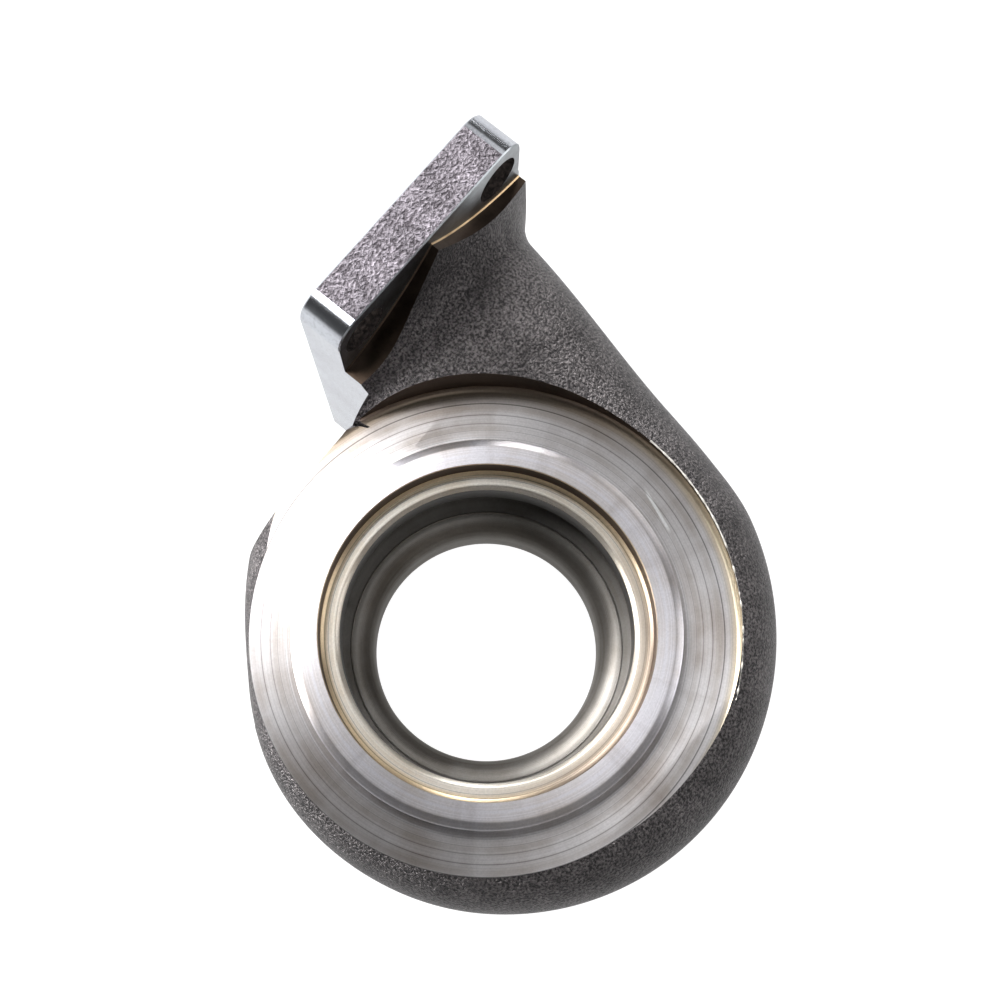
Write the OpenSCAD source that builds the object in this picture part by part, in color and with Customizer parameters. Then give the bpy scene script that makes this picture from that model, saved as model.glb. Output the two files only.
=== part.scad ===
// Turbine housing of a small turbocharger: one iron casting, machined where other parts meet it.
// Frame: the turbine axis is +Z with the bearing side up, and the origin is the centre of the outlet
// face that the part rests on. The inlet flange faces +Y and the gas enters along -Y.
// A depth is measured down from the face of the clamp ring, at the top of the machined end.

/* [Casting] */
// Outlet face to the face of the clamp ring
body_height = 80; // [78:0.5:95]
// Thickness of the cast wall round the gas passage
cast_wall = 4.4; // [4:0.2:6]
// Radius of the largest scroll section
scroll_size = 15; // [13:0.2:15.6]
// Radius where the scroll opens to the turbine wheel
scroll_mouth_radius = 36.6; // [36:0.2:38]
// Depth of the top of the scroll passage
scroll_top = 15.5; // [15:0.25:17]
// Angle in degrees over which the scroll shrinks to nothing
scroll_wrap = 290; // [285:1:300]
// Distance from the axis to the flat on the flange side
side_flat = 54.8; // [54:0.1:57]

/* [Clamp ring and recess] */
// Outer radius of the clamp ring
ring_radius = 43.5; // [42.5:0.1:45]
// Depth of the recess floor round the clamp ring
recess_depth = 5.5; // [4.5:0.25:7]
// Radius of the recess wall
recess_radius = 57.3; // [56.5:0.1:58.5]
// Radius of the cast pad under the recess floor
pad_radius = 53.3; // [52.5:0.1:54.5]
// Radius of the fillet between the recess floor and its wall
recess_fillet = 1.5; // [0.5:0.1:3]

/* [Bore] */
// Radius of the seat for the bearing housing
seat_radius = 37.4; // [37.2:0.05:38.2]
// Depth of the seat shoulder
seat_depth = 6.5; // [5:0.1:8]
// Radius of the bore below the seat shoulder
bore_radius = 33.2; // [32:0.1:34.5]
// Height of the ring-shaped nozzle slot
slot_height = 11.5; // [8:0.25:12.5]
// Outer radius of the shroud lip
lip_radius = 31.9; // [31:0.1:32]
// Radius of the throat round the turbine wheel
throat_radius = 27; // [25:0.1:28]
// Depth where the throat starts to widen
throat_end = 40; // [37:0.5:44]
// Radius of the outlet bore at its face
outlet_radius = 35.5; // [34.5:0.1:37]

/* [Outlet rim] */
// Outer radius of the outlet neck
outlet_neck_radius = 39.5; // [38.5:0.1:42]
// Outer radius of the outlet clamp rim
rim_radius = 46; // [45:0.1:50]
// Thickness of the outlet clamp rim at its edge
rim_edge = 3; // [2:0.1:5]

/* [Inlet flange] */
// Thickness of the flange
flange_thick = 11.5; // [9:0.1:12.5]
// Height of the flange centre above the outlet face
flange_centre = 59.3; // [57:0.1:66]
// Offset of the flange centre from the turbine axis
flange_offset = 55; // [54:0.1:56]
// Distance from the turbine axis to the gasket face
gasket_distance = 73; // [72:0.1:78]
// Radius of the four flange corners
corner_radius = 6.2; // [4:0.1:8]
// Radius of the stud holes
stud_radius = 6; // [5:0.1:6.5]
// Spacing of the stud holes along X
stud_span_x = 46; // [44:0.1:47]
// Spacing of the stud holes along Z
stud_span_z = 73; // [71:0.1:75]
// Stud hole centres to the ends of the flange along X
stud_edge_x = 8; // [7:0.1:10]
// Stud hole centres to the top and to the base of the flange
stud_edge_z = 9.5; // [8.5:0.1:12]
// Width of the gas port in the gasket face
port_width = 35; // [32:0.5:36]
// Height of the gas port in the gasket face
port_height = 52; // [44:0.5:54]
// Radius of the cutter that clears the nut seats
cutter_radius = 60; // [56:0.5:64]

/* [Mesh] */
// Points round each scroll section
section_points = 32; // [24:4:40]
// Degrees between scroll sections
section_step = 10; // [6:1:15]

/* [Output] */
// Part to draw

/* [Hidden] */
$fn = 96;
// a cut runs this far past the faces it opens
past = 1;
// the flange reaches past its stud holes on each side
flange_width = stud_span_x + 2 * stud_edge_x;
flange_height = stud_span_z + 2 * stud_edge_z;
// every cut above the part ends this far over the outlet face, higher than the top of the flange
sky = body_height + flange_height;
// the gas passage turns from straight to curved where Y is zero
inlet_length = gasket_distance;
flange_back = gasket_distance - flange_thick;
flange_left = flange_offset - flange_width / 2;
flange_right = flange_offset + flange_width / 2;
flange_depth = body_height - flange_centre;
flange_top = flange_centre + flange_height / 2;
flange_base = flange_centre - flange_height / 2;
seat_shoulder_inner = bore_radius + 0.9;
// the nozzle slot starts just above the passage
slot_top = scroll_top - 0.5;
slot_base = slot_top + slot_height;
// angle travelled from the straight inlet where the last scroll section stands
scroll_end = scroll_wrap - 14;
// the scroll skin is made in two parts that meet here, because its end runs under the neck
skin_split = 210;
// the second part starts this many degrees inside the first, smaller by the tuck
skin_overlap = 5;
skin_tuck = 0.4;
// the scroll skin ends inside the neck, this far round
skin_end = 300;
// radius of the inner edge of the scroll skin, inside the core
skin_inner = 30;
// the outside draws in a little between these angles, where the wall is thinner
slim = 0.9;
slim_start = 75;
slim_full = 140;
slim_fade = 160;
slim_end = 205;
// how far the skin swells where the scroll end joins the neck
swell = 17;
swell_start = 218;
swell_span = 74;
// and how far its underside drops towards the underside of the neck
drop = 16;
// how far its top lifts towards the top of the neck
lift = 5.5;
// the skin climbs out of the recess floor over this last angle before the inlet
skin_top = 4.2;
rise_angle = 95;
rise = 3.6;
// the right side of the neck is straight, and starts this far inside the largest scroll section
neck_inset = 0.3;
// slopes of the neck sides and top towards the flange
neck_right_slope = 0.2;
neck_left_slope = 0.28;
neck_rise = 7;
neck_rise_span = 48;
neck_squaring = 0.6;
neck_base_slope = 0.1;
// the fillet that widens the neck to the flange
flare_start = flange_back - 9.3;
flare_end = flange_back - 2.3;
flare_top = 16.5;
flare_base = 8;
flare_right = 6;
flare_left = 2;
// neck sections as distances along Y
neck_steps = [0, 8, 16, 24, 31, 38, 44, 48.5, flare_start, flare_start + 2.2, flare_start + 4,
    flare_start + 5.4, flare_start + 6.3, flare_start + 6.8, flare_end, flange_back + 2 * past];
// the inlet passage squares up and climbs to the port over these spans of Y
lead_span = 25;
climb_start = 33;
climb_span = 34;
inlet_draw = 3.4;
port_power = 5;
passage_outer_power = 2.1;
passage_inner_power = 3.5;
inlet_steps = [0, 5, 10, 15, 20, 25, 30, 35, 40, 45, 50, 55, 60, flange_back, inlet_length + past];
// the cutter that clears a nut seat stands this far outside its stud hole
cutter_offset = 19.4;
cutter_lift = 48;
cutter_reach = 45;
// size of the block that mills the flat sides
flat_cutter = 110;

// 0 to 1 with level ends
function ease(t) = let (c = max(0, min(1, t))) c * c * (3 - 2 * c);
function mix(a, b, t) = a + (b - a) * t;

// radius of the passage at an angle travelled from the inlet
function scroll_radius(s) = scroll_size * sqrt(max(0, 1 - s / scroll_wrap));

// one point of a squared circle: side 1 is away from the axis and side -1 towards it
function rounded(a, power) = let (c = cos(a), s = sin(a), e = 2 / power)
    [sign(c) * pow(abs(c), e), sign(s) * pow(abs(s), e)];

// distance of the straight right side of the neck where the gas starts to turn, and its radius at an
// angle travelled, for the first quarter turn
neck_right = scroll_mouth_radius + 2 * scroll_size + cast_wall - neck_inset;
function straight_side(s) = neck_right / max(0.5, cos(s) + neck_right_slope * sin(s));

// section boxes as [inner, outer, top depth, base depth, power of the outer half, of the inner half]
function passage_box(s) = let (r = scroll_radius(s))
    [scroll_mouth_radius, scroll_mouth_radius + 2 * r, scroll_top, scroll_top + 2 * r,
        passage_outer_power, passage_inner_power];

function inlet_box(y) = let (
    r = scroll_radius(0),
    lead = ease(y / lead_span),
    run = ease((y - lead_span) / (inlet_length - lead_span)),
    climb = ease((y - climb_start) / climb_span),
    left = mix(scroll_mouth_radius - inlet_draw * lead, flange_offset - port_width / 2, run),
    right = mix(scroll_mouth_radius + 2 * r, flange_offset + port_width / 2, ease(y / inlet_length)),
    top = mix(scroll_top, flange_depth - port_height / 2, climb),
    base = mix(scroll_top + 2 * r, flange_depth + port_height / 2, climb))
    [left, right, top, base, mix(passage_outer_power, port_power, climb),
        mix(passage_inner_power, port_power, climb)];

// a tucked section is a little smaller, so that it can stand inside the one it follows
function skin_box(s, tuck = 0) = let (
    r = scroll_radius(s),
    joining = ease((s - swell_start) / swell_span),
    slimming = ease((s - slim_start) / (slim_full - slim_start))
        * ease((slim_end - s) / (slim_end - slim_fade)),
    full = scroll_mouth_radius + 2 * r + cast_wall - slim * slimming + swell * joining,
    out = min(full, straight_side(s)),
    top = skin_top - lift * joining - rise * ease((rise_angle - s) / rise_angle),
    base = scroll_top + 2 * r + cast_wall + drop * joining)
    [skin_inner + tuck, out - tuck, top + tuck, base - tuck, 2, 2];

function neck_box(y) = let (
    r = scroll_radius(0),
    t = max(0, min(1, (y - flare_start) / (flare_end - flare_start))),
    flare = 1 - sqrt(1 - t * t),
    left = skin_inner - neck_left_slope * y - flare_left * flare,
    right = neck_right + neck_right_slope * y + flare_right * flare,
    over = skin_top - rise - neck_rise * ease(y / neck_rise_span) - flare_top * flare,
    top = min(over, inlet_box(y)[2] - cast_wall),
    under = scroll_top + 2 * r + cast_wall + neck_base_slope * y + flare_base * flare,
    base = max(under, inlet_box(y)[3] + cast_wall),
    power = 2 + neck_squaring * (ease(y / neck_rise_span) + flare))
    [left, right, top, base, power, power];

// the points of a section box, as [distance, depth]
function section(box) = [for (i = [0 : section_points - 1]) let (
    a = 360 * i / section_points,
    p = rounded(a, cos(a) > 0 ? box[4] : box[5]))
    [mix(box[0], box[1], 0.5 + p[0] / 2), mix(box[3], box[2], 0.5 + p[1] / 2)]];

// a section stands in the half plane at an angle, or across the inlet at a distance along Y
function turned(points, s) = [for (p = points) [p[0] * cos(s), -p[0] * sin(s), body_height - p[1]]];
function shifted(points, y) = [for (p = points) [p[0], y, body_height - p[1]]];

// closes a row of sections into one solid
module skin_over(rows) {
    n = len(rows[0]);
    m = len(rows);
    sides = [for (k = [0 : m - 2], i = [0 : n - 1]) let (
        a = k * n + i,
        b = k * n + (i + 1) % n)
        each [[a, a + n, b], [b, a + n, b + n]]];
    first = [[for (i = [0 : n - 1]) i]];
    last = [[for (i = [n - 1 : -1 : 0]) (m - 1) * n + i]];
    polyhedron(
        points = [for (row = rows) each row],
        faces = concat(sides, first, last),
        convexity = 10);
}

function angles(from, to) = [for (s = [from : section_step : to - section_step / 2]) s];

// the gas passage from the gasket face round to the end of the scroll
module passage() {
    inlet = [for (i = [len(inlet_steps) - 1 : -1 : 1])
        shifted(section(inlet_box(inlet_steps[i])), inlet_steps[i])];
    scroll = [for (s = concat(angles(0, scroll_end), [scroll_end]))
        turned(section(passage_box(s)), s)];
    skin_over(concat(inlet, scroll));
}

// the cast outside of the neck and of the first part of the scroll
module neck_and_scroll_skin() {
    neck = [for (i = [len(neck_steps) - 1 : -1 : 1])
        shifted(section(neck_box(neck_steps[i])), neck_steps[i])];
    scroll = [for (s = concat(angles(0, skin_split), [skin_split]))
        turned(section(skin_box(s)), s)];
    skin_over(concat(neck, scroll));
}

// the cast outside of the last part of the scroll, which starts inside the first part
// and ends inside the neck
module scroll_end_skin() {
    start = skin_split - skin_overlap;
    skin_over([for (s = concat(angles(start, skin_end), [skin_end]))
        turned(section(skin_box(s, skin_tuck * (1 - ease((s - skin_split) / (2 * skin_overlap))))), s)]);
}

// a cylinder along -Y from a given distance
module along_inlet(x, y, z, radius, length) {
    translate([x, y, z])
        rotate([90, 0, 0])
            cylinder(r = radius, h = length);
}

// the plate with rounded corners that bolts to the manifold
module flange_plate() {
    inner_w = flange_width - 2 * corner_radius;
    inner_h = flange_height - 2 * corner_radius;
    translate([flange_left, flange_back, flange_base + corner_radius])
        cube([flange_width, flange_thick, inner_h]);
    translate([flange_left + corner_radius, flange_back, flange_base])
        cube([inner_w, flange_thick, flange_height]);
    for (x = [-1, 1], z = [-1, 1])
        along_inlet(flange_offset + x * inner_w / 2, gasket_distance, flange_centre + z * inner_h / 2,
            corner_radius, flange_thick);
}

// clamp ring, pad, shroud wall, outlet neck and outlet rim, turned about the axis
module core() {
    ring_chamfer = 1.8;
    ring_chamfer_depth = 0.96;
    pad_thick = 6;
    root_radius = 44;
    root_depth = scroll_top + 2 * scroll_size;
    root_cone = 12;
    rim_cone = 4.5;
    rim_chamfer = 0.6;
    inner = throat_radius - 3;
    rotate_extrude()
        polygon([
            [inner, body_height],
            [ring_radius - ring_chamfer, body_height],
            [ring_radius, body_height - ring_chamfer_depth],
            [ring_radius, body_height - recess_depth],
            [pad_radius, body_height - recess_depth],
            [pad_radius, body_height - recess_depth - pad_thick],
            [root_radius, body_height - root_depth],
            [outlet_neck_radius, body_height - root_depth - root_cone],
            [outlet_neck_radius, rim_edge + rim_cone],
            [rim_radius - rim_chamfer, rim_edge],
            [rim_radius, rim_edge - rim_chamfer],
            [rim_radius, rim_chamfer],
            [rim_radius - rim_chamfer, 0],
            [inner, 0]]);
}

// everything inside the core: seat, bore, shroud contour, throat and outlet cone
module bore() {
    z = body_height;
    edge = 0.3;
    fillet = 0.8;
    slot_radius = scroll_mouth_radius + 2.9;
    lip_depth = slot_base + 0.5;
    lip_flat = 0.4;
    round_depth = 7;
    outlet_land = 6;
    // quarter ellipse from the lip to the throat
    contour = [for (a = [0 : 7.5 : 90]) [
        mix(throat_radius, lip_radius, 1 - sin(a)),
        z - lip_depth - round_depth * (1 - cos(a))]];
    rotate_extrude()
        polygon(concat(
            [[0, z + past],
            [seat_radius + edge + past, z + past],
            [seat_radius + edge, z],
            [seat_radius, z - edge],
            [seat_radius, z - seat_depth + fillet],
            [seat_radius - fillet * 0.3, z - seat_depth + fillet * 0.3],
            [seat_radius - fillet, z - seat_depth],
            [seat_shoulder_inner, z - seat_depth],
            [bore_radius, z - seat_depth - past],
            [bore_radius, z - slot_top],
            [slot_radius, z - slot_top],
            [slot_radius, z - slot_base],
            [lip_radius + lip_flat, z - slot_base - lip_flat]],
            contour,
            [[throat_radius, z - throat_end],
            [outlet_radius, outlet_land],
            [outlet_radius, -past],
            [0, -past]]));
}

// the recess turned into the skin, and all the space over it, before the core brings the clamp ring
module recess() {
    bend = [for (a = [0 : 15 : 90]) [
        recess_radius - recess_fillet * (1 - sin(a)),
        body_height - recess_depth + recess_fillet * (1 - cos(a))]];
    rotate_extrude()
        polygon(concat([[0, body_height - recess_depth]], bend, [[recess_radius, sky], [0, sky]]));
}

// the milled step that leaves the flange end and the side flat
module side_step() {
    translate([flange_left - flat_cutter, side_flat, flange_base - flat_cutter / 2])
        cube([flat_cutter, flat_cutter, 2 * flat_cutter]);
}

// the other flange end, milled flush with the neck
module end_step() {
    translate([flange_right, 0, flange_base - flat_cutter / 2])
        cube([flat_cutter, gasket_distance + past, 2 * flat_cutter]);
}

// clearance for the nuts on both sides of the neck, down to the back of the flange
module nut_seats() {
    for (x = [-1, 1], z = [-1, 1])
        along_inlet(flange_offset + x * (stud_span_x / 2 + cutter_offset), flange_back,
            flange_centre + z * (stud_span_z / 2 + cutter_lift), cutter_radius, cutter_reach);
}

module stud_holes() {
    for (x = [-1, 1], z = [-1, 1])
        along_inlet(flange_offset + x * stud_span_x / 2, gasket_distance + past,
            flange_centre + z * stud_span_z / 2, stud_radius, flange_thick + 2 * past);
}

module turbine_housing() {
    color("dimgray")
        difference() {
            union() {
                core();
                difference() {
                    union() {
                        neck_and_scroll_skin();
                        scroll_end_skin();
                    }
                    side_step();
                    end_step();
                    recess();
                    nut_seats();
                }
                flange_plate();
            }
            passage();
            bore();
            stud_holes();
        }
}

turbine_housing();
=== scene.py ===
"""Turbine housing of a small turbocharger: one iron casting, machined where other parts meet it.

Lengths are millimetres. A depth is measured down from the face of the clamp ring, and an angle s is
how far round the axis the gas has travelled from the inlet, in degrees.
"""

import bpy
import numpy as np
from mathutils import Matrix, Vector


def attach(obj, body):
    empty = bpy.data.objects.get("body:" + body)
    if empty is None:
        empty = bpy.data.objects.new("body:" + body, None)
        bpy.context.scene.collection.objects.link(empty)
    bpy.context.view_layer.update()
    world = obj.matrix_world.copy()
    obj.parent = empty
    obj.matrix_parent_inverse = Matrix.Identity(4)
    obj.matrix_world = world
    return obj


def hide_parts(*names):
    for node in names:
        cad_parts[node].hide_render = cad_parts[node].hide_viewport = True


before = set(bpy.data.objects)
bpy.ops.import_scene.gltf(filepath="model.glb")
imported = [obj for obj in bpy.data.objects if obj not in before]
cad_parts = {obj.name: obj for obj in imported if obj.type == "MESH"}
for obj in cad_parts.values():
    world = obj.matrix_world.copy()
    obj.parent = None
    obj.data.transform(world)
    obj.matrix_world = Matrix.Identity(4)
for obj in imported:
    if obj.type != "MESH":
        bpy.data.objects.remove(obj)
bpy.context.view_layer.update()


# Cast skin of the scroll and the neck.
# The outside of the sand casting: a scroll that grows round the turbine axis and a neck that
# leads from it to the inlet flange. It is grey iron, left as it came out of the mould.

MM = 0.001
body_height = 80.0
cast_wall = 4.4
scroll_size = 15.0
scroll_mouth = 36.6
scroll_top = 15.5
scroll_wrap = 290.0
gasket_distance = 73.0
flange_thick = 11.5
flange_back = gasket_distance - flange_thick
skin_inner = 30.0
skin_top = 4.2
# the skin climbs out of the recess floor over this last angle before the inlet
rise = 3.6
rise_angle = 95.0
# the outside draws in a little between these angles, where the wall is thinner
slim = 0.9
slim_start = 75.0
slim_full = 140.0
slim_fade = 160.0
slim_end = 205.0
# where the end of the scroll joins the neck it swells, its underside drops and its top lifts
swell = 17.0
drop = 16.0
lift = 5.5
swell_start = 218.0
swell_span = 74.0
# the neck: slopes of its sides and base, and how it rises and squares up on the way to the flange
neck_right = 71.0
neck_right_slope = 0.2
neck_left_slope = 0.28
neck_base_slope = 0.1
neck_rise = 7.0
neck_rise_span = 50.0
neck_squaring = 0.6
neck_squaring_span = 45.0
# its straight right side runs into the round of the scroll with a blend that starts over this angle
neck_blend = 2.4
neck_blend_angle = 15.0
least_blend = 0.01
# the fillet that widens the neck to the flange
flare_start = flange_back - 9.3
flare_length = 7.0
flare_top = 16.5
flare_base = 8.0
flare_right = 6.0
flare_left = 2.0
# the skin is made in two parts, because its end runs under the neck: the second starts inside the
# first, smaller by the tuck
skin_split = 210.0
skin_overlap = 5.25
skin_tuck = 0.08
tuck_fade = 10.0
skin_end = 300.0
angle_step = 1.5
points_around = 120


def ease(t):
    """0 to 1 with level ends: 3 t^2 - 2 t^3, held outside that span."""
    t = np.clip(t, 0.0, 1.0)
    return t * t * (3.0 - 2.0 * t)


def mix(a, b, t):
    """The straight line from a to b: a + (b - a) t."""
    return a + (b - a) * t


def smooth_minimum(a, b, reach):
    """The smaller of a and b, rounded where they cross: b + (a - b) h - reach h (1 - h)."""
    h = np.clip(0.5 + 0.5 * (b - a) / reach, 0.0, 1.0)
    return mix(b, a, h) - reach * h * (1.0 - h)


def scroll_radius(s):
    """Radius of the gas passage, which falls with the square root of the angle left to travel."""
    return scroll_size * np.sqrt(np.clip(1.0 - s / scroll_wrap, 0.0, 1.0))


def scroll_skin_boxes(s, tuck=0.0):
    """Inner and outer radius, top and base depth, and the two powers of the skin at angles s.

    The outer radius is the mouth, the passage and the wall, cut off by the straight side of the neck.
    """
    r = scroll_radius(s)
    joining = ease((s - swell_start) / swell_span)
    drawn_in = ease((s - slim_start) / (slim_full - slim_start))
    slimming = drawn_in * ease((slim_end - s) / (slim_end - slim_fade))
    turn = np.radians(s)
    straight = neck_right / np.maximum(0.5, np.cos(turn) + neck_right_slope * np.sin(turn))
    full = scroll_mouth + 2 * r + cast_wall - slim * slimming + swell * joining
    outer = smooth_minimum(full, straight, least_blend + neck_blend * ease(s / neck_blend_angle))
    inner = np.full_like(s, skin_inner)
    top = skin_top - lift * joining - rise * ease((rise_angle - s) / rise_angle)
    base = scroll_top + 2 * r + cast_wall + drop * joining
    round_power = np.full_like(s, 2.0)
    return np.stack([inner + tuck, outer - tuck, top + tuck, base - tuck, round_power, round_power], 1)


def neck_skin_boxes(y):
    """The same values for the neck at distances y, which flares like a quarter circle at the flange."""
    r = scroll_size
    flare = 1.0 - np.sqrt(1.0 - np.clip((y - flare_start) / flare_length, 0.0, 1.0) ** 2)
    left = skin_inner - neck_left_slope * y - flare_left * flare
    right = neck_right + neck_right_slope * y + flare_right * flare
    top = skin_top - rise - neck_rise * ease(y / neck_rise_span) - flare_top * flare
    base = scroll_top + 2 * r + cast_wall + neck_base_slope * y + flare_base * flare
    power = 2.0 + neck_squaring * (ease(y / neck_squaring_span) + flare)
    return np.stack([left, right, top, base, power, power], 1)


def squared_rings(boxes, count):
    """Points round each box on a squared circle |x|^p + |y|^p = 1, as distances and depths."""
    a = np.linspace(0.0, 2 * np.pi, count, endpoint=False)
    power = np.where(np.cos(a) > 0, boxes[:, 4:5], boxes[:, 5:6])
    across = np.sign(np.cos(a)) * np.abs(np.cos(a)) ** (2 / power)
    upward = np.sign(np.sin(a)) * np.abs(np.sin(a)) ** (2 / power)
    distance = mix(boxes[:, 0:1], boxes[:, 1:2], 0.5 + across / 2)
    depth = mix(boxes[:, 3:4], boxes[:, 2:3], 0.5 + upward / 2)
    return distance, depth


def round_the_axis(boxes, s, count):
    """Rings in half planes through the axis: distance R at angle s stands at (R cos s, -R sin s)."""
    distance, depth = squared_rings(boxes, count)
    turn = np.radians(s)[:, None]
    return np.stack([distance * np.cos(turn), -distance * np.sin(turn), body_height - depth], 2)


def along_the_neck(boxes, y, count):
    """Rings in planes across Y: the point at distance x and depth d is (x, y, body height - d)."""
    distance, depth = squared_rings(boxes, count)
    return np.stack([distance, np.broadcast_to(y[:, None], distance.shape), body_height - depth], 2)


def solid(name, rings, finish=0):
    """Closes a stack of rings (m, n, 3) in millimetres: quads between the rings and a cap at each end.

    The faces point outwards, and all have the finish with the given place in the list of finishes.
    """
    m, n = rings.shape[:2]
    k = np.arange(m - 1)[:, None] * n
    i = np.arange(n)[None, :]
    j = (i + 1) % n
    sides = np.stack([k + i, k + j, k + j + n, k + i + n], 2).reshape(-1, 4)
    points = rings.reshape(-1, 3) * MM
    a, b, c, d = (points[sides[:, q]] for q in range(4))
    volume = np.einsum("ij,ij->", a, np.cross(b, c)) + np.einsum("ij,ij->", a, np.cross(c, d))
    first, last = np.arange(n)[::-1], np.arange(n) + (m - 1) * n
    if volume < 0:
        sides, first, last = sides[:, ::-1], first[::-1], last[::-1]
    mesh = bpy.data.meshes.new(name)
    mesh.from_pydata(points.tolist(), [], sides.tolist() + [first.tolist(), last.tolist()])
    mesh.validate()
    mesh.polygons.foreach_set("material_index", np.full(len(mesh.polygons), finish, np.int32))
    piece = bpy.data.objects.new(name, mesh)
    bpy.context.collection.objects.link(piece)
    return piece


def add_node(tree, kind, settings=None, **values):
    """Adds one node: settings are its own properties, values are sockets by name, constant or linked.

    A socket that is known by its number is written i0, i1 and so on.
    """
    node = tree.nodes.new(kind)
    for key, value in (settings or {}).items():
        setattr(node, key, value)
    for key, value in values.items():
        numbered = key[0] == "i" and key[1:].isdigit()
        socket = node.inputs[int(key[1:]) if numbered else key.replace("_", " ")]
        if isinstance(value, bpy.types.NodeSocket):
            tree.links.new(value, socket)
        else:
            socket.default_value = value
    return node


def linear(code):
    """An sRGB hex colour as linear red, green, blue and alpha."""
    c = np.array([int(code[i:i + 2], 16) for i in (1, 3, 5)]) / 255.0
    return tuple(np.where(c <= 0.04045, c / 12.92, ((c + 0.055) / 1.055) ** 2.4)) + (1.0,)


def new_material(name):
    """A material with an empty node tree, and its output node."""
    material = bpy.data.materials.new(name)
    material.use_nodes = True
    material.node_tree.nodes.clear()
    return material, material.node_tree, material.node_tree.nodes.new("ShaderNodeOutputMaterial")


def ramp(tree, factor, stops):
    """A colour ramp: stops are (position, sRGB hex) pairs."""
    node = add_node(tree, "ShaderNodeValToRGB", i0=factor)
    band = node.color_ramp
    while len(band.elements) < len(stops):
        band.elements.new(1.0)
    for element, (place, code) in zip(band.elements, stops):
        element.position = place
        element.color = linear(code)
    return node.outputs["Color"]


def noise(tree, place, size_mm, detail=3.0, roughness=0.6, distortion=0.0):
    """Procedural noise with lumps of about size_mm, 0 to 1."""
    node = add_node(tree, "ShaderNodeTexNoise", Vector=place, Scale=1.0 / (size_mm * MM), Detail=detail,
                    Roughness=roughness, Distortion=distortion)
    return node.outputs["Fac"]


def span(tree, value, low, high, at_low, at_high):
    """A value moved from one span to another and held inside it."""
    node = add_node(tree, "ShaderNodeMapRange", Value=value, From_Min=low, From_Max=high, To_Min=at_low,
                    To_Max=at_high)
    return node.outputs["Result"]


def lit(tree, colour, level):
    """A colour made darker or lighter by a level, where 1 leaves it."""
    return add_node(tree, "ShaderNodeHueSaturation", Color=colour, Value=level).outputs["Color"]


def sand_cast_iron(name, dark, light, grain_mm, bump_mm, roughness):
    """Sand cast grey iron: a dark violet grey oxide skin.

    The sand leaves worm-like grains of half a millimetre to a millimetre, drawn that coarse so that
    they show. Their tops are rubbed a little brighter and glint, and broad patches differ in tone.
    """
    material, tree, output = new_material(name)
    place = add_node(tree, "ShaderNodeTexCoord").outputs["Object"]
    grain = noise(tree, place, grain_mm, 3.0, 0.55, 0.25)
    patch = noise(tree, place, 9.0)
    colour = ramp(tree, grain, [(0.4, dark), (0.66, light)])
    shade = lit(tree, colour, span(tree, patch, 0.3, 0.7, 0.7, 1.2))
    bump = add_node(tree, "ShaderNodeBump", Height=grain, Distance=bump_mm * MM, Strength=1.0)
    skin = add_node(tree, "ShaderNodeBsdfPrincipled", Base_Color=shade, Metallic=0.88,
                    Roughness=roughness, Normal=bump.outputs["Normal"])
    tree.links.new(skin.outputs["BSDF"], output.inputs["Surface"])
    return material


finishes = []


def add_finish(material):
    """Adds a material to the finishes of the casting and gives its place among them."""
    finishes.append(material)
    return len(finishes) - 1


CAST = add_finish(sand_cast_iron(
    "sand_cast_grey_iron", "#393738", "#7c7777", grain_mm=0.6, bump_mm=0.7, roughness=0.32))

# the rings of the neck stand closer together in the fillet at the flange
fillet_y = np.arange(flange_back - 0.5, 51.0, -0.5)
neck_y = np.concatenate([[flange_back + 2.0], fillet_y, np.arange(51.0, 0.5, -1.5)])
first_angles = np.arange(0.0, skin_split + 0.1, angle_step)
end_angles = np.arange(skin_split - skin_overlap, skin_end + 0.1, angle_step)
tucks = skin_tuck * (1.0 - ease((end_angles - skin_split) / tuck_fade))
scroll_and_neck = solid("turbine_housing_casting", np.concatenate([
    along_the_neck(neck_skin_boxes(neck_y), neck_y, points_around),
    round_the_axis(scroll_skin_boxes(first_angles), first_angles, points_around)]), CAST)
end_boxes = scroll_skin_boxes(end_angles, tucks)
scroll_end = solid("scroll_end", round_the_axis(end_boxes, end_angles, points_around), CAST)


# Gas passage.
# The hollow that the sand core left: it runs from the port in the flange round to the end of the
# scroll, and opens inwards to the turbine wheel through the nozzle slot. Hot gas has blackened it.

flange_offset = 55.0
flange_centre = 59.3
flange_depth = body_height - flange_centre
port_width = 35.0
port_height = 52.0
# it squares up and climbs to the port over these spans of Y
lead_span = 25.0
climb_start = 33.0
climb_span = 34.0
inlet_draw = 3.4
port_power = 5.0
passage_outer_power = 2.1
passage_inner_power = 3.5
passage_end = scroll_wrap - 14.0
passage_points = 72
# a cut runs this far past the faces it opens
past = 1.0

# soot in the passage and the slot, and painted shade in the stud holes
SOOT_AND_HOLE_SHADE = add_finish(sand_cast_iron(
    "sand_cast_iron_passage", "#1c1817", "#3a3330", grain_mm=1.1, bump_mm=0.35, roughness=0.7))


def scroll_passage_boxes(s):
    """The round passage at angles s, flattened on its inner side where the slot opens."""
    r = scroll_radius(s)
    flat = np.ones_like(s)
    return np.stack([scroll_mouth * flat, scroll_mouth + 2 * r, scroll_top * flat, scroll_top + 2 * r,
                     passage_outer_power * flat, passage_inner_power * flat], 1)


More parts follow.
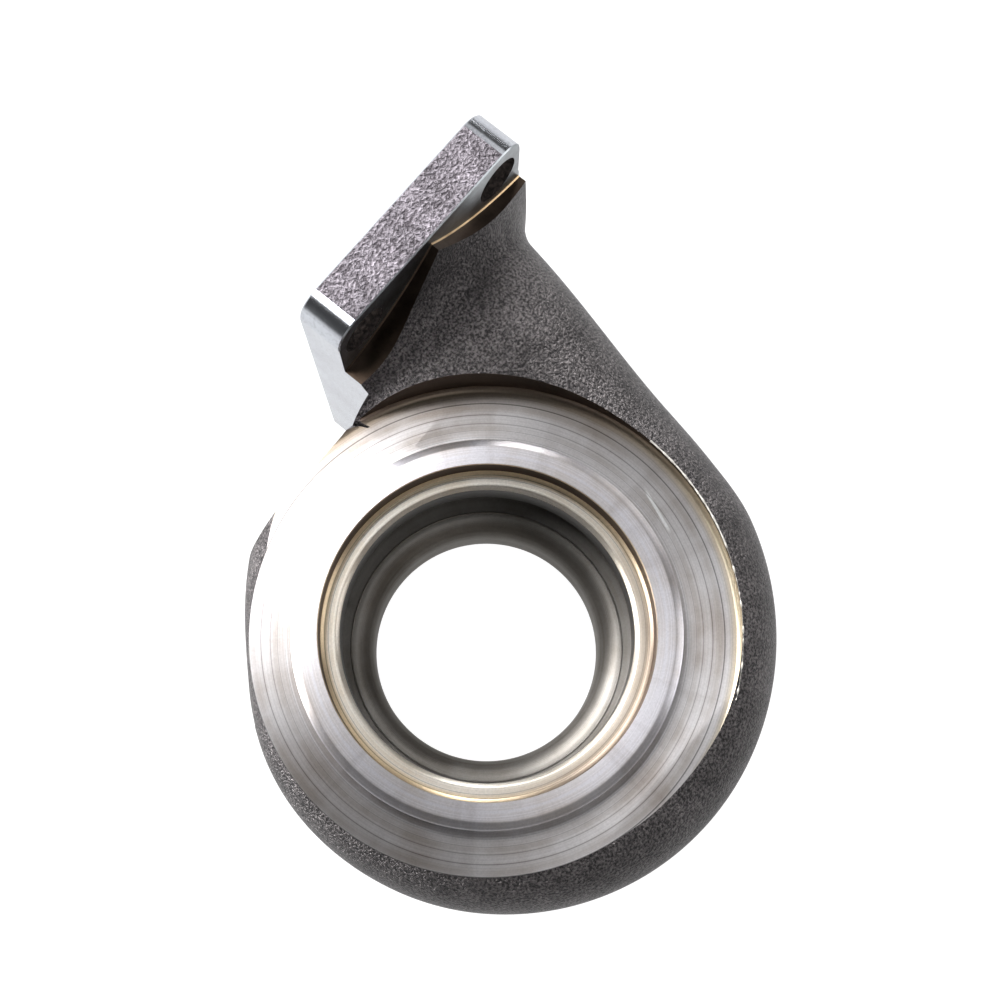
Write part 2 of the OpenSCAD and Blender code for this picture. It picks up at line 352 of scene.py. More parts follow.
def inlet_passage_boxes(y):
    """The inlet at distances y: it changes from round to the rectangular port while it climbs."""
    r = scroll_size
    lead = ease(y / lead_span)
    run = ease((y - lead_span) / (gasket_distance - lead_span))
    climb = ease((y - climb_start) / climb_span)
    left = mix(scroll_mouth - inlet_draw * lead, flange_offset - port_width / 2, run)
    right = mix(scroll_mouth + 2 * r, flange_offset + port_width / 2, ease(y / gasket_distance))
    top = mix(scroll_top, flange_depth - port_height / 2, climb)
    base = mix(scroll_top + 2 * r, flange_depth + port_height / 2, climb)
    outer_power = mix(passage_outer_power, port_power, climb)
    inner_power = mix(passage_inner_power, port_power, climb)
    return np.stack([left, right, top, base, outer_power, inner_power], 1)


inlet_y = np.concatenate([[gasket_distance + past], np.arange(gasket_distance - 1.0, 0.5, -2.0)])
passage_s = np.append(np.arange(0.0, passage_end - 1.0, 2.5), passage_end)
passage = solid("passage", np.concatenate([
    along_the_neck(inlet_passage_boxes(inlet_y), inlet_y, passage_points),
    round_the_axis(scroll_passage_boxes(passage_s), passage_s, passage_points)]), SOOT_AND_HOLE_SHADE)


# Clamp ring, pad and outlet neck.
# The middle of the casting, turned on a lathe about Z in one setting: the ring that a clamp grips,
# the floor of the recess round it, and the outlet neck with its clamp rim. Its sharp edges are broken.

ring_radius = 43.5
ring_chamfer = 1.8
ring_chamfer_depth = 0.96
recess_floor = body_height - 5.5
pad_radius = 53.3
pad_thick = 6.0
root_radius = 44.0
root_height = body_height - scroll_top - 2 * scroll_size
root_cone = 12.0
outlet_neck_radius = 39.5
rim_radius = 46.0
rim_edge = 3.0
rim_cone = 4.5
rim_chamfer = 0.6
core_inner = 20.0


def times(tree, a, b):
    """The product of two values."""
    return add_node(tree, "ShaderNodeMath", {"operation": "MULTIPLY"}, i0=a, i1=b).outputs["Value"]


def blend(tree, amount, colour, other):
    """One colour over another by an amount."""
    node = add_node(tree, "ShaderNodeMix", {"data_type": "RGBA"}, Factor=amount, i6=colour, i7=other)
    return node.outputs[2]


def stroke(tree, place, start, end, half_width):
    """1 on the straight stroke from start to end in millimetres, 0 beside it and past its ends."""
    fade = 2.0 * MM
    a, b = np.array(start) * MM, np.array(end) * MM
    length = float(np.linalg.norm(b - a))
    way = (b - a) / length
    side = (-way[1], way[0], 0.0)
    here = add_node(tree, "ShaderNodeVectorMath", {"operation": "SUBTRACT"}, i0=place, i1=tuple(a))
    along = add_node(tree, "ShaderNodeVectorMath", {"operation": "DOT_PRODUCT"}, i0=here.outputs["Vector"],
                     i1=tuple(way))
    off = add_node(tree, "ShaderNodeVectorMath", {"operation": "DOT_PRODUCT"}, i0=here.outputs["Vector"],
                   i1=side)
    off = add_node(tree, "ShaderNodeMath", {"operation": "ABSOLUTE"}, i0=off.outputs["Value"])
    started = span(tree, along.outputs["Value"], 0.0, fade, 0.0, 1.0)
    ended = span(tree, along.outputs["Value"], length - fade, length, 1.0, 0.0)
    beside = span(tree, off.outputs["Value"], half_width * MM / 2, half_width * MM, 1.0, 0.0)
    return times(tree, times(tree, started, ended), beside)


def turned_iron(name, pale, stain, groove_mm, groove_depth_mm, roughness, stain_level,
                stretch=0.7, wipes=0.0, circles=(), edge=None, scratch=None):
    """Turned grey iron: the lathe tool leaves rings a few tenths of a millimetre apart round the axis.

    The light spreads across the rings and draws bright fans. Oil and rust stain the metal warm in
    patches, wiped outwards in places. Where the tool stopped it left a thin dark circle, given as
    its radius, half width and level. The edge is painted light: it gives the radii where a painted
    highlight rim starts and is full, its colour, the colour of the painted shade over it, and the
    way that the painted shade faces.
    """
    material, tree, output = new_material(name)
    place = add_node(tree, "ShaderNodeTexCoord").outputs["Object"]
    part = add_node(tree, "ShaderNodeSeparateXYZ", Vector=place)
    flat = add_node(tree, "ShaderNodeCombineXYZ", X=part.outputs["X"], Y=part.outputs["Y"])
    radius = add_node(tree, "ShaderNodeVectorMath", {"operation": "LENGTH"}, i0=flat.outputs["Vector"])
    across = add_node(tree, "ShaderNodeMath", {"operation": "ADD"}, i0=radius.outputs["Value"],
                      i1=part.outputs["Z"])
    ring = add_node(tree, "ShaderNodeCombineXYZ", X=across.outputs["Value"]).outputs["Vector"]
    fine = noise(tree, ring, groove_mm)
    grain = noise(tree, place, 0.5)
    stained = times(tree, noise(tree, place, 16.0, 5.0), noise(tree, ring, 2.2, 4.0, 0.7))
    colour = blend(tree, span(tree, stained, 0.18, 0.36, 0.0, stain_level), linear(pale), linear(stain))
    way = add_node(tree, "ShaderNodeVectorMath", {"operation": "NORMALIZE"}, i0=flat.outputs["Vector"])
    wiped = add_node(tree, "ShaderNodeTexNoise", Vector=way.outputs["Vector"], Scale=6.0, Detail=4.0)
    wipe = span(tree, wiped.outputs["Fac"], 0.55, 0.72, 0.0, wipes)
    colour = blend(tree, wipe, colour, linear("#6d5a4e"))
    tone = times(tree, span(tree, fine, 0.3, 0.7, 0.86, 1.1), span(tree, grain, 0.3, 0.7, 0.9, 1.06))
    for circle, half_width, level in circles:
        gap = add_node(tree, "ShaderNodeMath", {"operation": "SUBTRACT"}, i0=radius.outputs["Value"],
                       i1=circle * MM)
        size = add_node(tree, "ShaderNodeMath", {"operation": "ABSOLUTE"}, i0=gap.outputs["Value"])
        tone = times(tree, tone, span(tree, size.outputs["Value"], 0.0, half_width * MM, level, 1.0))
    # the edge is painted light: a painted highlight rim, and painted shade over the side that faces one way
    if edge:
        highlight_start, highlight_full, bright, painted_shade_colour, painted_shade_way = edge
        painted_shade_start = highlight_start - 3.5
        facing = add_node(tree, "ShaderNodeVectorMath", {"operation": "DOT_PRODUCT"},
                          i0=way.outputs["Vector"], i1=painted_shade_way)
        painted_shade_side = span(tree, facing.outputs["Value"], 0.35, 0.85, 0.0, 1.0)
        band = span(tree, radius.outputs["Value"], highlight_start * MM, highlight_full * MM, 0.0, 1.0)
        colour = blend(tree, band, colour, linear(bright))
        painted_shade_band = span(tree, radius.outputs["Value"], painted_shade_start * MM, highlight_full * MM, 0.0, 1.0)
        colour = blend(tree, times(tree, painted_shade_band, painted_shade_side), colour, linear(painted_shade_colour))
    if scratch:
        colour = blend(tree, stroke(tree, place, *scratch), colour, linear("#ffffff"))
    bump = add_node(tree, "ShaderNodeBump", Height=fine, Distance=groove_depth_mm * MM, Strength=1.0)
    face = add_node(tree, "ShaderNodeNewGeometry").outputs["Normal"]
    along = add_node(tree, "ShaderNodeVectorMath", {"operation": "CROSS_PRODUCT"}, i0=(0.0, 0.0, 1.0),
                     i1=place)
    tangent = add_node(tree, "ShaderNodeVectorMath", {"operation": "CROSS_PRODUCT"}, i0=face,
                       i1=along.outputs["Vector"])
    unit = add_node(tree, "ShaderNodeVectorMath", {"operation": "NORMALIZE"}, i0=tangent.outputs["Vector"])
    skin = add_node(tree, "ShaderNodeBsdfPrincipled", Base_Color=lit(tree, colour, tone), Metallic=1.0,
                    Roughness=roughness, Anisotropic=stretch, Tangent=unit.outputs["Vector"],
                    Normal=bump.outputs["Normal"])
    tree.links.new(skin.outputs["BSDF"], output.inputs["Surface"])
    return material


# dark circles where the tool stopped, a painted highlight rim with painted shade on the side of the
# flange, where the neck's wall stands over the floor, and one white scratch from its start to its
# end with its half width
floor_circles = [(53.3, 0.22, 0.25), (50.6, 0.18, 0.45), (48.5, 0.15, 0.6), (46.9, 0.12, 0.7),
                 (45.2, 0.12, 0.7), (55.0, 0.12, 0.75)]
floor_painted_light = (54.4, 56.6, "#e6d6b8", "#8c7e70", (0.71, 0.7, 0.0))
floor_scratch = ((48.5, -6.6, recess_floor), (44.0, -17.9, recess_floor), 0.45)
RING = add_finish(turned_iron(
    "turned_iron_ring_face", "#dedce2", "#b9ab9b", groove_mm=0.25, groove_depth_mm=0.003, roughness=0.36,
    stain_level=0.5, stretch=0.6, wipes=0.25))
FLOOR = add_finish(turned_iron(
    "turned_iron_recess", "#d8d5d6", "#a1958c", groove_mm=0.35, groove_depth_mm=0.010, roughness=0.32,
    stain_level=0.7, wipes=0.2, circles=floor_circles, edge=floor_painted_light, scratch=floor_scratch))
THROAT = add_finish(turned_iron(
    "turned_iron_throat", "#a09c97", "#6e665c", groove_mm=0.3, groove_depth_mm=0.008, roughness=0.42,
    stain_level=0.6))


def softened(corners, sizes, steps=4):
    """A closed profile whose corners are cut back by their sizes.

    A quadratic curve through both cuts, drawn to the old corner, takes the place of each corner.
    """
    p = np.array(corners, float)
    before, after = p - np.roll(p, 1, 0), np.roll(p, -1, 0) - p
    reach = np.minimum(np.linalg.norm(before, axis=1), np.linalg.norm(after, axis=1)) * 0.45
    cut = np.minimum(np.array(sizes, float), reach)[:, None]
    a = p - before / np.maximum(np.linalg.norm(before, axis=1), 1e-9)[:, None] * cut
    b = p + after / np.maximum(np.linalg.norm(after, axis=1), 1e-9)[:, None] * cut
    t = np.linspace(0.0, 1.0, steps)[None, :, None]
    curve = (1 - t) ** 2 * a[:, None] + 2 * t * (1 - t) * p[:, None] + t ** 2 * b[:, None]
    keep = np.repeat(cut[:, 0] > 0, steps) | (np.arange(len(p) * steps) % steps == 0)
    return curve.reshape(-1, 2)[keep]


def turned(profile, segments=256):
    """Circles about Z, one for each (radius, height) of the profile."""
    a = np.linspace(0.0, 2 * np.pi, segments, endpoint=False)
    radius, height = profile[:, :1], profile[:, 1:]
    level = np.broadcast_to(height, (len(profile), segments))
    return np.stack([radius * np.cos(a), radius * np.sin(a), level], 2)


def finish_by(piece, choose):
    """Gives each face the finish that choose(centres, normals) returns, with centres in millimetres."""
    count = len(piece.data.polygons)
    centre, normal = np.empty(count * 3), np.empty(count * 3)
    piece.data.polygons.foreach_get("center", centre)
    piece.data.polygons.foreach_get("normal", normal)
    index = choose(centre.reshape(-1, 3) / MM, normal.reshape(-1, 3))
    piece.data.polygons.foreach_set("material_index", index.astype(np.int32))


def core_finish(c, n):
    """The clamp ring, the recess floor, the turned outlet rim, and cast iron between them."""
    high = c[:, 2] > recess_floor + 0.05
    level = np.abs(c[:, 2] - recess_floor) < 0.05
    low = c[:, 2] < rim_edge + rim_cone + 0.1
    return np.select([high, level, low], [RING, FLOOR, THROAT], CAST)


# corners from the outlet face up to the clamp ring face, and how far each is softened
core_line = [(core_inner, 0), (rim_radius - rim_chamfer, 0), (rim_radius, rim_chamfer),
             (rim_radius, rim_edge - rim_chamfer), (rim_radius - rim_chamfer, rim_edge),
             (outlet_neck_radius, rim_edge + rim_cone), (outlet_neck_radius, root_height - root_cone),
             (root_radius, root_height), (pad_radius, recess_floor - pad_thick),
             (pad_radius, recess_floor), (ring_radius, recess_floor),
             (ring_radius, body_height - ring_chamfer_depth), (ring_radius - ring_chamfer, body_height),
             (core_inner, body_height)]
core_cut = [0, 0.3, 0.3, 0.3, 0.3, 2.0, 4.0, 6.0, 0, 0, 0, 0.25, 0.3, 0]
core = solid("core", turned(softened(core_line, core_cut)))
finish_by(core, core_finish)


# Recess round the clamp ring.
# The same lathe cut a level floor into the cast skin, to make room for the clamp. A round nosed
# tool left a fillet at the foot of its wall, and the wall is coloured dark brown as painted shade.

recess_radius = 57.3
recess_fillet = 1.5
sky = 130.0

# painted shade: the recess wall is dark brown, much darker than the floor it stands on
RECESS_WALL_PAINTED_SHADE = add_finish(turned_iron(
    "turned_iron_recess_wall_painted_shade", "#5b4d42", "#33271f", groove_mm=0.35, groove_depth_mm=0.010, roughness=0.36,
    stain_level=0.8))

fillet_turn = np.radians(np.arange(0.0, 90.1, 15.0))
fillet_radius = recess_radius - recess_fillet + recess_fillet * np.sin(fillet_turn)
fillet_height = recess_floor + recess_fillet * (1 - np.cos(fillet_turn))
recess_profile = np.concatenate([np.stack([fillet_radius, fillet_height], 1), [[recess_radius, sky]]])
recess = solid("recess", turned(recess_profile))
finish_by(recess, lambda c, n: np.where(c[:, 2] > recess_floor + 1.2, RECESS_WALL_PAINTED_SHADE, FLOOR))


# Seat, bore and outlet.
# Inside the core the lathe cut a seat for the bearing housing with a shoulder under it, the bore,
# the nozzle slot, the rounded contour that the turbine wheel runs in, and the outlet cone.

seat_radius = 37.4
seat_floor = body_height - 6.5
seat_edge = 0.2
seat_edge_depth = 0.3
seat_fillet = 0.8
seat_fillet_height = 0.9
bore_radius = 33.2
shoulder_edge = 0.9
shoulder_edge_depth = 1.0
slot_height = 11.5
slot_top = body_height - scroll_top + 0.5
slot_base = slot_top - slot_height
slot_radius = scroll_mouth + 2.9
lip_radius = 31.9
lip_flat = 0.4
lip_height = slot_base - 0.5
contour_depth = 7.0
throat_radius = 27.0
throat_end = 40.0
outlet_radius = 35.5
outlet_land = 6.0
# the profile stops this close to the axis, and starts this far over the clamp ring
axis_gap = 0.5
over_ring = 2.0

# a painted highlight rim, with painted shade on the side away from the flange
shoulder_painted_light = (35.6, 36.5, "#e8d3b2", "#94877a", (0.17, -0.985, 0.0))
# painted shade: the seat wall is dark brown, much darker than the shoulder under it
SEAT_WALL_PAINTED_SHADE = add_finish(turned_iron(
    "turned_iron_seat_wall_painted_shade", "#5a4a40", "#3a2c24", groove_mm=0.3, groove_depth_mm=0.006, roughness=0.36,
    stain_level=0.8))
# painted light: the shoulder's colour is near white, lighter than the other turned faces
SHOULDER = add_finish(turned_iron(
    "turned_iron_seat_shoulder", "#faf4ea", "#d9bd93", groove_mm=0.3, groove_depth_mm=0.004, roughness=0.36,
    stain_level=0.4, stretch=0.6, circles=[(36.5, 0.2, 0.45), (35.7, 0.15, 0.6)], edge=shoulder_painted_light))
BORE = add_finish(turned_iron(
    "turned_iron_bore", "#423e3b", "#29231f", groove_mm=0.3, groove_depth_mm=0.008, roughness=0.28,
    stain_level=0.7))


def bore_finish(c, n):
    """Seat wall, shoulder, bore wall, the cast slot, and the contour with the throat under it."""
    radius = np.hypot(c[:, 0], c[:, 1])
    deep = c[:, 2] < slot_top - 0.05
    slot = deep & (c[:, 2] > slot_base + 0.1) & (radius > bore_radius - 0.2)
    wall = (c[:, 2] > seat_floor + 0.2) & (np.abs(n[:, 2]) < 0.5)
    shoulder = (c[:, 2] > seat_floor - 1.1) & ~wall
    return np.select([slot, wall, shoulder, deep], [SOOT_AND_HOLE_SHADE, SEAT_WALL_PAINTED_SHADE, SHOULDER, THROAT], BORE)


# corners from over the clamp ring down to the lip of the slot, and how far each is softened
seat_line = [(axis_gap, body_height + over_ring), (seat_radius + 1.2, body_height + over_ring),
             (seat_radius + seat_edge, body_height), (seat_radius, body_height - seat_edge_depth),
             (seat_radius, seat_floor + seat_fillet_height), (seat_radius - seat_fillet, seat_floor),
             (bore_radius + shoulder_edge, seat_floor), (bore_radius, seat_floor - shoulder_edge_depth),
             (bore_radius, slot_top), (slot_radius, slot_top), (slot_radius, slot_base),
             (lip_radius + lip_flat, slot_base - lip_flat)]
seat_cut = [0, 0, 0.2, 0, 0.1, 0.5, 0.25, 0.25, 0.3, 0, 0, 0.2]
contour_turn = np.radians(np.arange(0.0, 90.1, 5.0))
contour_radius = mix(throat_radius, lip_radius, 1 - np.sin(contour_turn))
contour_height = lip_height - contour_depth * (1 - np.cos(contour_turn))
contour = np.stack([contour_radius, contour_height], 1)
outlet_line = [(throat_radius, throat_end + 3.0), (throat_radius, throat_end), (outlet_radius, outlet_land),
               (outlet_radius, -past)]
bore_profile = np.concatenate([softened(seat_line, seat_cut)[1:], contour, outlet_line])
bore = solid("bore", turned(bore_profile))
finish_by(bore, bore_finish)


# Inlet flange and the milled flats.
# A thick rectangular flange, cast with the housing, with four stud holes. Its ends are milled
# flush with the neck, and a cutter clears a round floor for each nut.

stud_span_x = 46.0
stud_span_z = 73.0
stud_radius = 6.0
stud_edge_x = 8.0
stud_edge_z = 9.5
flange_left = flange_offset - stud_span_x / 2 - stud_edge_x
flange_right = flange_offset + stud_span_x / 2 + stud_edge_x
flange_base = flange_centre - stud_span_z / 2 - stud_edge_z
flange_top = flange_centre + stud_span_z / 2 + stud_edge_z
corner_radius = 6.2
back_edge = 0.3
face_edge = 0.4
# distance from the axis to the flat on the flange side
side_flat = 54.8
# the cutter that clears a nut seat stands this far outside its stud hole
cutter_radius = 60.0
cutter_offset = 19.4
cutter_lift = 48.0
cutter_reach = 45.0
cutter_edge = 0.3
# the blocks that mill the flats reach this far
mill_left, mill_right = -176.0, 150.0
mill_front = 120.0
mill_low, mill_high = -20.0, 160.0


def milled_iron(name, pale, stain, roughness, stain_level):
    """Milled grey iron, bright and cool, with fine specks and broad patches of stain."""
    material, tree, output = new_material(name)
    place = add_node(tree, "ShaderNodeTexCoord").outputs["Object"]
    patch = noise(tree, place, 12.0, 5.0)
    speck = noise(tree, place, 0.8)
    colour = blend(tree, span(tree, patch, 0.4, 0.65, 0.0, stain_level), linear(pale), linear(stain))
    shade = lit(tree, colour, span(tree, speck, 0.25, 0.5, 0.8, 1.0))
    bump = add_node(tree, "ShaderNodeBump", Height=speck, Distance=0.01 * MM, Strength=1.0)
    skin = add_node(tree, "ShaderNodeBsdfPrincipled", Base_Color=shade, Metallic=1.0,
                    Roughness=roughness, Normal=bump.outputs["Normal"])
    tree.links.new(skin.outputs["BSDF"], output.inputs["Surface"])
    return material


FLANGE = add_finish(sand_cast_iron(
    "sand_cast_iron_flange", "#565156", "#918b92", grain_mm=0.75, bump_mm=0.75, roughness=0.36))
MILLED = add_finish(milled_iron("milled_iron_flange", "#e9edf4", "#cfced8", roughness=0.17, stain_level=0.4))
# old oil has stained the nut seats. The edges of the seats on the +X side have a pale gold painted
# highlight; on the -X side they take the dark wall finish, as painted shade
NUT_FLOOR = add_finish(milled_iron(
    "milled_iron_nut_seat_floor", "#bcc2c6", "#7e7b7e", roughness=0.3, stain_level=0.8))
NUT_WALL = add_finish(milled_iron(
    "milled_iron_nut_seat_wall", "#574a40", "#382e27", roughness=0.35, stain_level=0.8))
NUT_EDGE_HIGHLIGHT = add_finish(milled_iron(
    "milled_iron_nut_seat_edge_painted_highlight", "#d9bd96", "#8a6f52", roughness=0.35, stain_level=0.8))


def rounded_plate(x0, x1, z0, z1, corner, ys, insets, steps=10):
    """Rings of a rectangle with quarter circle corners, one at each y, drawn in by its inset."""
    quarter = np.linspace(0.0, np.pi / 2, steps)
    angle = np.concatenate([quarter + k * np.pi / 2 for k in range(4)])
    cx = np.repeat([x1 - corner, x0 + corner, x0 + corner, x1 - corner], steps)
    cz = np.repeat([z1 - corner, z1 - corner, z0 + corner, z0 + corner], steps)
    r = corner - np.array(insets)[:, None]
    y = np.broadcast_to(np.array(ys)[:, None], (len(ys), len(angle)))
    return np.stack([cx + r * np.cos(angle), y, cz + r * np.sin(angle)], 2)


def along_y_rods(x, z, radius, y0, y1, segments, edge=0.0):
    """A cylinder along Y from y0 down to y1, as circles, with a 45 degree edge at y0 where asked."""
    a = np.linspace(0.0, 2 * np.pi, segments, endpoint=False)
    places = [(radius, y0), (radius, y1)]
    if edge:
        places = [(radius - edge, y0), (radius, y0 - edge), (radius, y1)]
    return np.stack([np.stack([x + r * np.cos(a), y + 0 * a, z + r * np.sin(a)], 1) for r, y in places], 0)


def box_rings(x0, x1, y0, y1, z0, z1):
    """A box as two rings of four corners."""
    ring = np.array([(x0, 0, z0), (x1, 0, z0), (x1, 0, z1), (x0, 0, z1)], float)
    return np.stack([ring + [0, y0, 0], ring + [0, y1, 0]], 0)


def plate_finish(c, n):
    """The ends with their rounded corners and the gasket face are milled, the long edges stay cast."""
    end = np.abs(n[:, 0]) > 0.05
    face = n[:, 1] > 0.7
    back = n[:, 1] < -0.7
    return np.select([back, end | face], [NUT_FLOOR, MILLED], FLANGE)


def nut_seat_finish(edge_painted_light):
    """Chooses the flat floor of a nut seat, the edge that the cutter's corner left, and the wall."""
    return lambda c, n: np.select([n[:, 1] > 0.9, n[:, 1] > 0.4], [NUT_FLOOR, edge_painted_light], NUT_WALL)


plate_y = [flange_back, flange_back + back_edge, gasket_distance - face_edge, gasket_distance]
plate_insets = [back_edge, 0.0, 0.0, face_edge]
plate_rings = rounded_plate(flange_left, flange_right, flange_base, flange_top, corner_radius, plate_y,
                            plate_insets)
plate = solid("flange_plate", plate_rings)
finish_by(plate, plate_finish)

side_box = box_rings(mill_left, flange_left, side_flat, mill_front, mill_low, mill_high)
side_step = solid("side_step", side_box, MILLED)
end_box = box_rings(flange_right, mill_right, 0, gasket_distance + past, mill_low, mill_high)
end_step = solid("end_step", end_box, MILLED)
nut_seats = []
stud_holes = []
for side in (-1, 1):
    for level in (-1, 1):
        x, z = flange_offset + side * stud_span_x / 2, flange_centre + level * stud_span_z / 2
        cutter = along_y_rods(x + side * cutter_offset, z + level * cutter_lift, cutter_radius, flange_back,
                              flange_back - cutter_reach, 192, cutter_edge)
        nut_seats.append(solid("nut_seat", cutter))
        # painted light: the +X seats get the painted highlight edge, the -X seats the dark wall finish as
        # painted shade
        finish_by(nut_seats[-1], nut_seat_finish(NUT_EDGE_HIGHLIGHT if side > 0 else NUT_WALL))
        hole = along_y_rods(x, z, stud_radius, gasket_distance + past, flange_back - 1.5, 64)
        # painted shade: the drilled stud holes take the dark passage finish
        stud_holes.append(solid("stud_hole", hole, SOOT_AND_HOLE_SHADE))


# Burr on the recess edge.
# The turning tool pushed a thin bright burr over the edge of the cast skin where the scroll starts.
# It breaks up into dots further round.

burr_start = 1.0
burr_end = 66.0
burr_dots = 30.0
burr_size = 0.28

BURR = add_finish(milled_iron("bright_iron_burr", "#f4f1ea", "#d2ccc2", roughness=0.55, stain_level=0.3))


def skin_height(radius, s):
    """Height of the skin over a point at a radius and angle s: the upper half of its ellipse."""
    inner, outer, top, base = scroll_skin_boxes(s)[:, :4].T
    across = np.clip(2.0 * (radius - inner) / (outer - inner) - 1.0, -1.0, 1.0)
    return body_height - mix(base, top, 0.5 + 0.5 * np.sqrt(1.0 - across ** 2))


def burr_rings(radius, s, thick):
    """A thin cord along the skin edge: small circles in half planes through the axis, thick at each s."""
    a = np.linspace(0.0, 2 * np.pi, 8, endpoint=False)
    turn = np.radians(s)[:, None]
    distance = radius + thick[:, None] * np.cos(a)
    height = skin_height(radius, s)[:, None] + thick[:, None] * np.sin(a)
    return np.stack([distance * np.cos(turn), -distance * np.sin(turn), height], 2)


# two waves that don't keep step give it uneven beads, and past burr_dots it breaks up
burr_s = np.arange(burr_start, burr_end, 0.4)
burr_wave = 0.75 + 0.25 * np.sin(burr_s * 1.9) * np.sin(burr_s * 0.83 + 1.0)
burr_broken = np.clip(np.sin(burr_s * 0.9) + np.sin(burr_s * 2.3) - 0.2, 0.12, 0.9)
burr_thick = burr_size * np.where(burr_s < burr_dots, burr_wave, burr_broken)
burr = solid("burr", burr_rings(recess_radius, burr_s, burr_thick), BURR)


# One casting.
# The pieces above are joined and cut, so that the casting is one closed body. Each face keeps the
# finish of the piece or the cutter that made it.


def joined(base, tools, operation):
    """Runs one boolean for each tool on the base, keeps the result as a plain mesh and drops the tools."""
    for tool in tools:
        step = base.modifiers.new(tool.name, "BOOLEAN")
        step.operation = operation
        step.solver = "MANIFOLD"
        step.object = tool
    bpy.context.view_layer.update()
    result = bpy.data.meshes.new_from_object(base.evaluated_get(bpy.context.evaluated_depsgraph_get()))
    base.modifiers.clear()
    base.data = result
    for tool in tools:
        bpy.data.objects.remove(tool)
    return base


skins = [scroll_and_neck, scroll_end]
cutters = [recess, side_step, end_step] + nut_seats
additions = [core, plate, burr]
hollows = [passage, bore] + stud_holes
for piece in skins + cutters + additions + hollows:
    for material in finishes:
        piece.data.materials.append(material)
housing = joined(scroll_and_neck, [scroll_end], "UNION")
housing = joined(housing, cutters, "DIFFERENCE")
housing = joined(housing, additions, "UNION")
housing = joined(housing, hollows, "DIFFERENCE")
housing.data.polygons.foreach_set("use_smooth", np.ones(len(housing.data.polygons), bool))
housing.data.set_sharp_from_angle(angle=np.radians(32.0))
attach(housing, "root")
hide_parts("turbine_housing")


# Floor.
# A plain pale sheet under the part. The camera and mirrored rays see it white, the part's shadow
# falls on it, and a camera under it looks through it.

floor_reach = 2.0
white_seen = 1.0
white_mirrored = 0.5


def ray_kinds(tree):
    """1 where a ray comes straight from the camera, and 1 where metal or glass has sent it on."""
    path = add_node(tree, "ShaderNodeLightPath").outputs
    sent_on = add_node(tree, "ShaderNodeMath", {"operation": "MAXIMUM"}, i0=path["Is Glossy Ray"],
                       i1=path["Is Transmission Ray"])
    return path["Is Camera Ray"], sent_on.outputs["Value"]


material, tree, output = new_material("white_floor")
direct, mirrored = ray_kinds(tree)
seen = add_node(tree, "ShaderNodeMath", {"operation": "MAXIMUM"}, i0=direct, i1=mirrored).outputs["Value"]
strength = times(tree, seen, span(tree, direct, 0.0, 1.0, white_mirrored, white_seen))
glow = add_node(tree, "ShaderNodeEmission", Color=(1, 1, 1, 1), Strength=strength)
paper = add_node(tree, "ShaderNodeBsdfDiffuse", Color=linear("#707070"))
both = add_node(tree, "ShaderNodeAddShader", i0=glow.outputs["Emission"], i1=paper.outputs["BSDF"])
behind = add_node(tree, "ShaderNodeNewGeometry").outputs["Backfacing"]
below = times(tree, direct, behind)
clear = add_node(tree, "ShaderNodeBsdfTransparent")
sheet = add_node(tree, "ShaderNodeMixShader", Fac=below, i1=both.outputs["Shader"], i2=clear.outputs["BSDF"])
tree.links.new(sheet.outputs["Shader"], output.inputs["Surface"])
corners = [(x * floor_reach, y * floor_reach, 0) for x, y in ((-1, -1), (1, -1), (1, 1), (-1, 1))]
floor_mesh = bpy.data.meshes.new("floor")
floor_mesh.from_pydata(corners, [], [(0, 1, 2, 3)])
floor_mesh.materials.append(material)
floor = bpy.data.objects.new("floor", floor_mesh)
bpy.context.collection.objects.link(floor)


# Camera.
# It looks down on the clamp ring from about 0.33 m over it and a little off the axis, as worked out
# from the straight edges and the turned circles. Its place is in metres.

RIGHT = Vector((0.63427801, -0.77294205, 0.01587405))
UP = Vector((0.75146573, 0.6212185, 0.22223146))
BACK = Vector((-0.18163329, -0.12902773, 0.97486471))
camera_place = Vector((-0.03695553, -0.02711021, 0.40854885))
camera_data = bpy.data.cameras.new("camera")
camera_data.lens = 54.0
camera_data.sensor_width = 36.0
camera_data.clip_end = 20.0
camera = bpy.data.objects.new("camera", camera_data)
camera.matrix_world = Matrix.Translation(camera_place) @ Matrix((RIGHT, UP, BACK)).transposed().to_4x4()
bpy.context.collection.objects.link(camera)
bpy.context.scene.camera = camera


# Lamps.
# Large soft squares: most of the light comes from the upper left, low lamps behind the part draw
# the bright rims, and three weak ones overhead open the shade on the right.

lamp_distance = 1.2
lamp_target = Vector((0.0, 0.0, 0.06))


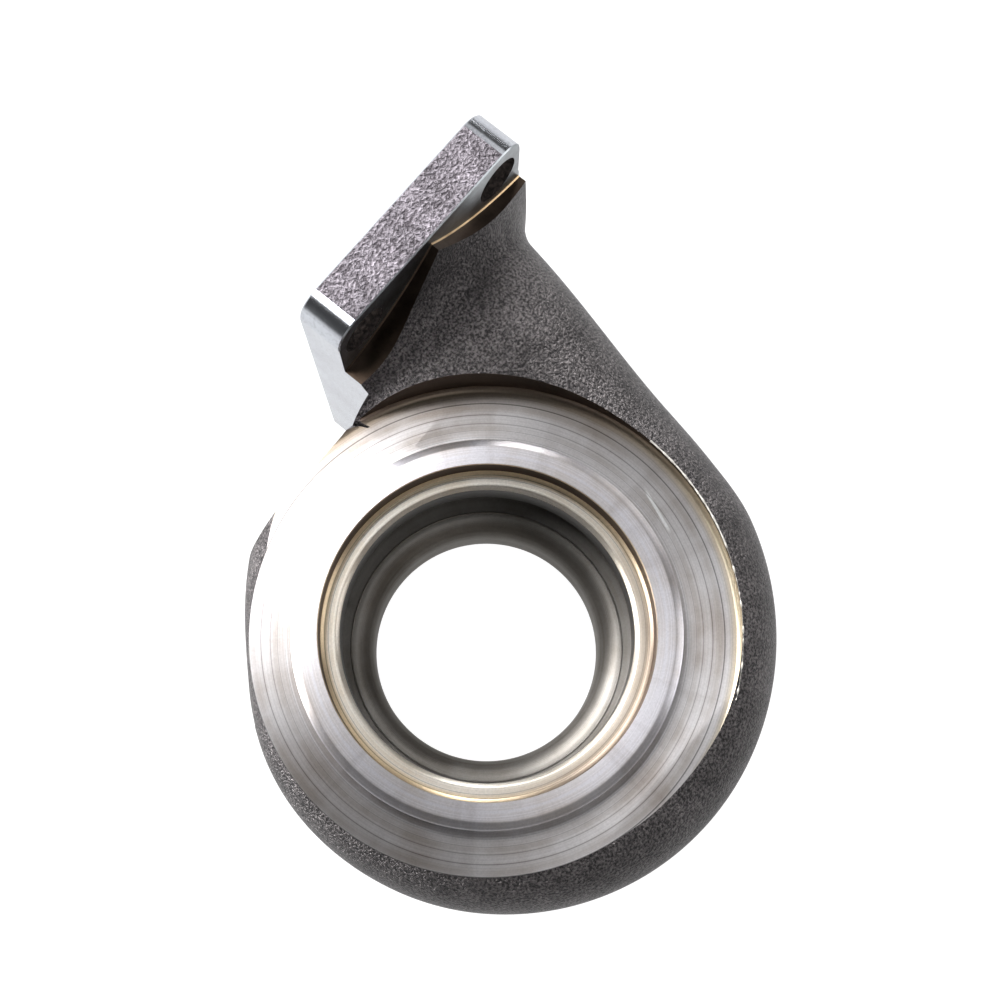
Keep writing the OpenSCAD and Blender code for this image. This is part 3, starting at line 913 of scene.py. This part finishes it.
def soft_lamp(name, bearing, height, size, power):
    """A square area lamp that faces the part. Its bearing runs from picture right to picture up.

    Bearing and height are degrees, the size is metres and the power watts.
    """
    data = bpy.data.lights.new(name, "AREA")
    data.shape = "SQUARE"
    data.size, data.energy = size, power
    lamp = bpy.data.objects.new(name, data)
    level_right = Vector((RIGHT.x, RIGHT.y, 0.0)).normalized()
    level_up = Vector((UP.x, UP.y, 0.0)).normalized()
    turn, tilt = np.radians(bearing), np.radians(height)
    level = level_right * np.cos(turn) + level_up * np.sin(turn)
    way = level * np.cos(tilt) + Vector((0.0, 0.0, 1.0)) * np.sin(tilt)
    aim = way.to_track_quat("Z", "Y").to_matrix().to_4x4()
    lamp.matrix_world = Matrix.Translation(lamp_target + way * lamp_distance) @ aim
    bpy.context.collection.objects.link(lamp)


soft_lamp("left", 140.0, 35.0, 0.9, 16.0)
soft_lamp("left_low", 182.0, 9.0, 0.5, 18.0)
soft_lamp("behind", 90.0, 12.0, 0.6, 12.0)
soft_lamp("behind_left", 135.0, 12.0, 0.6, 6.0)
soft_lamp("high", 135.0, 62.0, 0.6, 6.5)
soft_lamp("right", 0.0, 12.0, 0.6, 2.6)
soft_lamp("behind_right", 45.0, 12.0, 0.6, 1.2)
for bearing in (0.0, 60.0, 300.0):
    soft_lamp(f"overhead_{bearing:.0f}", bearing, 60.0, 0.6, 0.8)


# World.
# White to the camera. Metal mirrors a bright band along the horizon that fades upwards, and all
# other rays find it almost dark, so that the lamps light the part.

horizon_low = 0.06
horizon_high = 0.32
horizon_level = 0.7
ambient = 0.02

world = bpy.data.worlds.new("studio")
bpy.context.scene.world = world
world.use_nodes = True
tree = world.node_tree
direct, mirrored = ray_kinds(tree)
way = add_node(tree, "ShaderNodeTexCoord").outputs["Generated"]
upward = add_node(tree, "ShaderNodeSeparateXYZ", Vector=way).outputs["Z"]
horizon = times(tree, mirrored, span(tree, upward, horizon_low, horizon_high, horizon_level, 0.0))
shown = add_node(tree, "ShaderNodeMath", {"operation": "MAXIMUM"}, i0=direct, i1=horizon)
strength = add_node(tree, "ShaderNodeMath", {"operation": "MAXIMUM"}, i0=shown.outputs["Value"],
                    i1=ambient)
tree.links.new(strength.outputs["Value"], tree.nodes["Background"].inputs["Strength"])
tree.nodes["Background"].inputs["Color"].default_value = (1.0, 1.0, 1.0, 1.0)

bpy.context.scene.view_settings.view_transform = "Standard"
